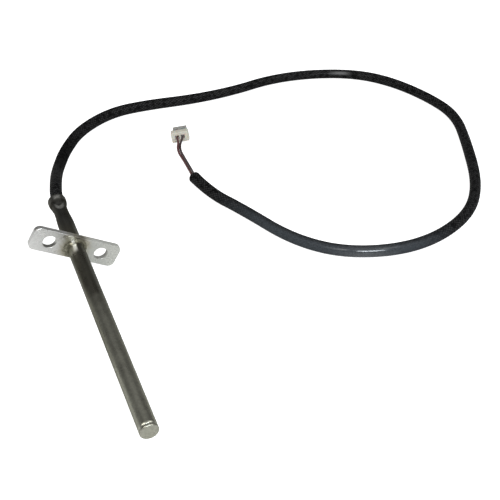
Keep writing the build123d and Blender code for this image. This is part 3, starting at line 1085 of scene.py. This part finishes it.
def brazeNodes(tree):
    # silver alloy, mostly dulled by brown flux stains, with a rippled, frozen surface and a painted
    # highlight streak on its front
    spot, _, offAxis = probePlace(tree)
    blotch, fleck = mottle(Vector=spot, Size=1.1)
    # painted highlight: a streak over the braze on its front
    paintedRun = share(towards(spot, offAxis, highlightRun["turn"]), 0.970, 0.999, 0.0, 0.45)
    base = layered(blend(blotch, brazeFinish["alloy"], brazeFinish["brown"]),
                   (times(fleck, 0.4), brazeFinish["flux"]), (paintedRun, highlightRun["colour"]))
    return {"Base Color": base, "Roughness": ranged(blotch, brazeFinish["roughness"]),
            "Metallic": ranged(paintedRun, (1.0, highlightRun["metallic"])),
            "Normal": bumped(noise(spot, 0.5, 2.0), 0.00008)}


# colours, then stretches in metres along the sleeving or round it: start, full, still full, end
sleevingFinish = {
    "yarn": ((0.0042, 0.0043, 0.0044), (0.0088, 0.0088, 0.0090)),
    "crown": (0.041, 0.041, 0.042),
    "dust": (0.022, 0.022, 0.022),
    "gap": (0.0015, 0.0015, 0.0016),
    # painted reflection: paler bluish tone on the front side of the worn stretch
    "slateSheen": (0.049, 0.056, 0.063),
    # painted shade colour for a stretch near the probe
    "paintedShade": (0.002, 0.002, 0.002),
    # painted highlight: a small pale patch on the sleeving
    "paintedGlint": (0.120, 0.120, 0.122),
    # side of the worn stretch that gets the painted reflection, paler and bluish
    "sheenRound": (0.0036, 0.0056, 0.0120, 0.01445),
    # stretch darkened by painted shade, and the patch of a painted highlight
    "paintedShadeReach": (0.026, 0.056, 0.068, 0.104),
    "glintReach": (0.2290, 0.2365, 0.2375, 0.2430),
    "glintRound": (0.0, 0.0012, 0.0015, 0.0028),
    # short stretch that handling has left glossiest
    "polished": (0.432, 0.450, 0.446, 0.464),
    "roughness": (0.50, 0.66),
    "coatRoughness": 0.13,
}


def sleevingNodes(tree):
    # black varnished glass yarn: darker gaps, brighter worn crowns, dust and patchy varnish, with a
    # painted reflection on the worn stretch, a stretch of painted shade and a small painted
    # highlight
    look = sleevingFinish
    weave, gap, fibre, strand = braidYarn(tree)
    spot = millimetres(tree)
    blotch, fleck = mottle(Vector=spot, Size=4.0)
    about, along = parts(coordinates(tree, "UV"))[:2]
    worn = within(along, *sleeving["worn"])
    # painted shade over a stretch near the probe; the same mask makes it rougher and less glossy
    paintedShade = within(along, *look["paintedShadeReach"])
    sunk = sums("MAXIMUM", gap, share(noise(spot, 1.5, 1.0), 0.46, 0.62))
    # painted reflection on the front side of the worn stretch
    sheenSide = scaled(within(about, *look["sheenRound"]), 0.62, 0.38)
    paintedSheen = times(times(worn, sheenSide), scaled(fleck, 0.35, 0.6))
    # painted highlight: a small pale patch on the sleeving
    paintedGlint = times(within(along, *look["glintReach"]), within(about, *look["glintRound"]))
    base = layered(blend(strand, *look["yarn"]),
                   (times(share(weave, 0.55, 0.95), 0.8), look["crown"]),
                   (times(blotch, 0.20), look["dust"]), (times(sunk, 0.85), look["gap"]),
                   (paintedSheen, look["slateSheen"]), (times(paintedShade, 0.55), look["paintedShade"]),
                   (paintedGlint, look["paintedGlint"]))
    rough = scaled(paintedShade, 0.25, ranged(blotch, look["roughness"]))
    height = times(scaled(fibre, 0.18, weave), ranged(worn, (1.0, 0.15)))
    gloss = sums("SUBTRACT", scaled(within(along, *look["polished"]), 0.9, 0.03),
                 times(paintedShade, 0.03))
    return {"Base Color": base, "Roughness": rough,
            "Coat Weight": times(ranged(fleck, (0.85, 1.0)), gloss),
            "Normal": bumped(height, 0.00003)}


def stainedNodes(spot, size, pattern, tones, stain, roughness, height, distance):
    # two tones mixed by a pattern, stained in blotches of one size, rougher in flecks
    blotch, fleck = mottle(Vector=spot, Size=size)
    amount, tint = stain
    return {"Base Color": layered(blend(pattern, *tones), (times(blotch, amount), tint)),
            "Roughness": ranged(fleck, roughness), "Normal": bumped(height, distance)}


def insulationNodes(tree, dark, light):
    # extruded insulation: slow change of tone along the wire, faint die lines and dust
    spread = vectors("MULTIPLY", coordinates(tree, "UV"), (1000.0, 40.0, 1.0))
    lines = noise(spread, 0.25, 2.0)
    return stainedNodes(millimetres(tree), 2.5, share(lines, 0.3, 0.7), (dark, light),
                        (0.12, (0.16, 0.13, 0.12)), (0.30, 0.44), lines, 0.000006)


def drawnNodes(tree, dark, light, dullness):
    # drawn or formed metal: long lines on the part's own coordinates and a little tarnish
    spot = millimetres(tree)
    lines = brushed(Vector=spot, Stretch=(1.0, 0.1, 1.0))["Lines"]
    tarnishAndShade = [0.45 * value for value in dark]
    return stainedNodes(spot, 0.8, lines, (dark, light), (0.35, tarnishAndShade),
                        (dullness * 0.75, dullness * 1.25), lines, 0.000004)


def cells(vector, size):
    # distance to the middle of the nearest of many cells about one size across
    return node("TexVoronoi", {"Vector": vector, "Scale": 1.0 / size}).outputs["Distance"]


def mineralNodes(tree, dark, light, grain, bump):
    # fired or cast mineral: grains of one size, pits and slow blotches
    spot = millimetres(tree)
    grains = cells(spot, grain)
    return stainedNodes(spot, grain * 6, share(grains, 0.1, 0.7), (light, dark), (0.4, dark),
                        (0.55, 0.85), grains, bump)


def glazeNodes(tree):
    # thin glass glaze with small bubbles and a slow change of depth
    spot = millimetres(tree)
    blotch = mottle(Vector=spot, Size=0.7)["Blotch"]
    bubbles = cells(spot, 1 / 9)
    return {"Base Color": blend(blotch, (0.16, 0.22, 0.17), (0.30, 0.36, 0.28)),
            "Roughness": share(bubbles, 0.05, 0.2, 0.4, 0.12),
            "Normal": bumped(bubbles, 0.000004)}


def linerNodes(tree):
    # white glass-fibre sleeve: a fine diagonal weave on the probe's own coordinates
    spot = probePlace(tree)["Place"]
    mirrored = vectors("MULTIPLY", spot, (1.0, 1.0, -1.0))
    weave = sums("MAXIMUM", *(node("TexWave", {"Vector": way, "Scale": 1.1, "Distortion": 0.6},
                                   bands_direction="DIAGONAL").outputs["Fac"]
                              for way in (spot, mirrored)))
    return stainedNodes(spot, 3.0, weave, ((0.42, 0.38, 0.30), (0.78, 0.75, 0.66)),
                        (0.3, (0.45, 0.36, 0.22)), (0.6, 0.8), weave, 0.00004)


nylon = {
    "skin": ((0.62, 0.60, 0.52), (0.52, 0.50, 0.425)),
    "nose": (0.26, 0.27, 0.265),
    "flowMark": (0.36, 0.34, 0.28),
    # where the greyed nose starts and is full, in millimetres into the connector
    "noseFrom": (1.6, 3.4),
    "roughness": (0.38, 0.52),
}


def nylonNodes(tree):
    # natural nylon: flow marks, a yellowed skin, fine moulding texture and a greyed nose
    spot = millimetres(tree)
    start = 1000.0 * float(connectorPlace @ connectorHeading)
    depth = vectors("DOT_PRODUCT", spot, tuple(connectorHeading), 1)
    blotch, fleck = mottle(Vector=spot, Size=3.2)
    greyed = share(depth, *(start + value for value in nylon["noseFrom"]), 0.0, 0.85)
    base = layered(blend(blotch, *nylon["skin"]), (greyed, nylon["nose"]),
                   (times(fleck, 0.18), nylon["flowMark"]))
    return {"Base Color": base, "Roughness": ranged(blotch, nylon["roughness"]),
            "Normal": bumped(noise(spot, 0.09, 2.0), 0.000012)}


metal = {"Metallic": 1.0}
wireCoat = {"Coat Weight": 0.2, "Coat Roughness": 0.3}
# each finish: the nodes that make it and their values, plain values, and the pieces that have it
finishes = {
    "sheathSteel": (sheathNodes, (), {"Specular Tint": opaque((0.38, 0.38, 0.36))},
                    ["sheathTube", "tipPlug"]),
    "flangeSteel": (flangeNodes, (), {}, ["mountingFlange"]),
    "brazeAlloy": (brazeNodes, (), {}, ["flangeBraze"]),
    "blackSleeving": (sleevingNodes, (), {"Specular IOR Level": 0.02, "Coat IOR": 1.7,
                                          "Coat Roughness": sleevingFinish["coatRoughness"]},
                      ["cableSleeving"]),
    "redInsulation": (insulationNodes, ((0.072, 0.020, 0.021), (0.115, 0.036, 0.036)), wireCoat,
                      ["wireRed"]),
    "blackInsulation": (insulationNodes, ((0.026, 0.014, 0.015), (0.045, 0.025, 0.026)), wireCoat,
                        ["wireBlack"]),
    "copperStrand": (drawnNodes, ((0.72, 0.38, 0.25), (0.90, 0.56, 0.40), 0.3), metal,
                     ["coreRed", "coreBlack"]),
    "tinnedCopper": (drawnNodes, ((0.55, 0.54, 0.51), (0.74, 0.73, 0.70), 0.32), metal,
                     ["contact_red", "contact_black", "splice_barrel_a", "splice_barrel_b"]),
    "platinumMetal": (drawnNodes, ((0.52, 0.50, 0.46), (0.70, 0.68, 0.64), 0.28), metal,
                      ["platinum_track", "rtd_lead_a", "rtd_lead_b"]),
    "firedAlumina": (mineralNodes, ((0.66, 0.64, 0.58), (0.83, 0.82, 0.78), 0.12, 0.000006), {},
                     ["rtd_substrate"]),
    "glassGlaze": (glazeNodes, (), {}, ["rtd_glaze"]),
    "ceramicPotting": (mineralNodes, ((0.40, 0.37, 0.31), (0.66, 0.63, 0.56), 0.35, 0.00004), {},
                       ["tip_cement"]),
    "fibreLiner": (linerNodes, (), {}, ["splice_sleeve_a", "splice_sleeve_b", "liner_sleeve"]),
    "nylonHousing": (nylonNodes, (), {"Subsurface Weight": 0.15, "Subsurface Scale": 0.0008},
                     ["connectorHousing"]),
}
finished = 0
for finish, (*recipe, names) in finishes.items():
    made = material(finish, *recipe)
    for name in names:
        piece = bpy.data.objects.get(name) or nodes[name]
        piece.data.materials.clear()
        piece.data.materials.append(made)
        finished += 1
print("finishes given to", finished, "pieces")

# floor, world and lamps

stage = {
    "reach": 30.0,
    "paper": (0.80, 0.82),
    "glow": 0.80,
    "mirroredGlow": 0.05,
    # strength at the horizon, at the height that the sheath's middle mirrors, and overhead
    "sky": (0.32, 0.14, 0.40),
    "skyDarkens": (0.0, 0.64),
    "skyBrightens": (0.66, 0.84),
    "lamps": {
        # name: place, aim, width, height, watts, colour
        "leftSoftbox": ((-0.75, -0.55, 0.95), (0.05, 0.03, 0.0), 0.9, 0.7, 8.5,
                        (1.0, 0.98, 0.95)),
        "rightSoftbox": ((0.75, -0.50, 1.05), (0.08, 0.02, 0.0), 0.9, 0.7, 6.0, (1.0, 1.0, 1.0)),
        "frontBox": ((0.04, -0.73, 0.46), (0.10, -0.03, 0.0), 0.32, 0.26, 3.6,
                     (0.88, 0.94, 1.0)),
    },
}
white = opaque((1.0, 1.0, 1.0))


def paperNodes(tree):
    # pale paper with faint fibres; it glows by itself for the camera and a little in mirrors
    fibres = noise(millimetres(tree), 1.5, 2.0)
    ray = node("LightPath", {}, tree).outputs
    glow = scaled(ray["Is Glossy Ray"], stage["mirroredGlow"],
                  times(ray["Is Camera Ray"], stage["glow"]))
    return {"Base Color": blend(fibres, *([tone] * 3 for tone in stage["paper"])),
            "Emission Strength": glow}


def makeFloor():
    # a very wide sheet of pale paper that looks white, and still takes a faint shadow
    reach = stage["reach"]
    points = np.array([(-reach, -reach, floorHeight), (reach, -reach, floorHeight),
                       (reach, reach, floorHeight), (-reach, reach, floorHeight)])
    floor = makePiece("paperFloor", points, [[0, 1, 2, 3]])
    floor.data.materials.append(material("whitePaper", paperNodes, (), {
        "Roughness": 0.9, "Specular IOR Level": 0.0, "Emission Color": white}))


def makeWorld():
    # grey surroundings: they darken up to a third of the way, then brighten to the top
    world = bpy.data.worlds.new("studio")
    world.use_nodes = True
    background = world.node_tree.nodes["Background"].inputs
    rise = parts(coordinates(world.node_tree, "Generated"))[2]
    low, middle, high = stage["sky"]
    tone = sums("ADD", share(rise, *stage["skyDarkens"], low, middle),
                share(rise, *stage["skyBrightens"], 0.0, high - middle))
    cameraRay = node("LightPath", {}, world.node_tree).outputs["Is Camera Ray"]
    world.node_tree.links.new(pick(cameraRay, tone, 1.0), background["Strength"])
    background["Color"].default_value = white
    scene.world = world


def makeLamp(name, spot, aim, width, height, watts, tone):
    # a rectangular softbox that faces its aim
    data = bpy.data.lights.new(name, "AREA")
    data.shape = "RECTANGLE"
    data.size, data.size_y = width, height
    data.energy, data.color = watts, tone
    back = unit(np.subtract(spot, aim))
    standAt(addObject(name, data), spot, unit(np.cross((0.0, 0.0, 1.0), back)), back)


makeFloor()
makeWorld()
for name, values in stage["lamps"].items():
    makeLamp(name, *values)
print("floor, world and lamps set")
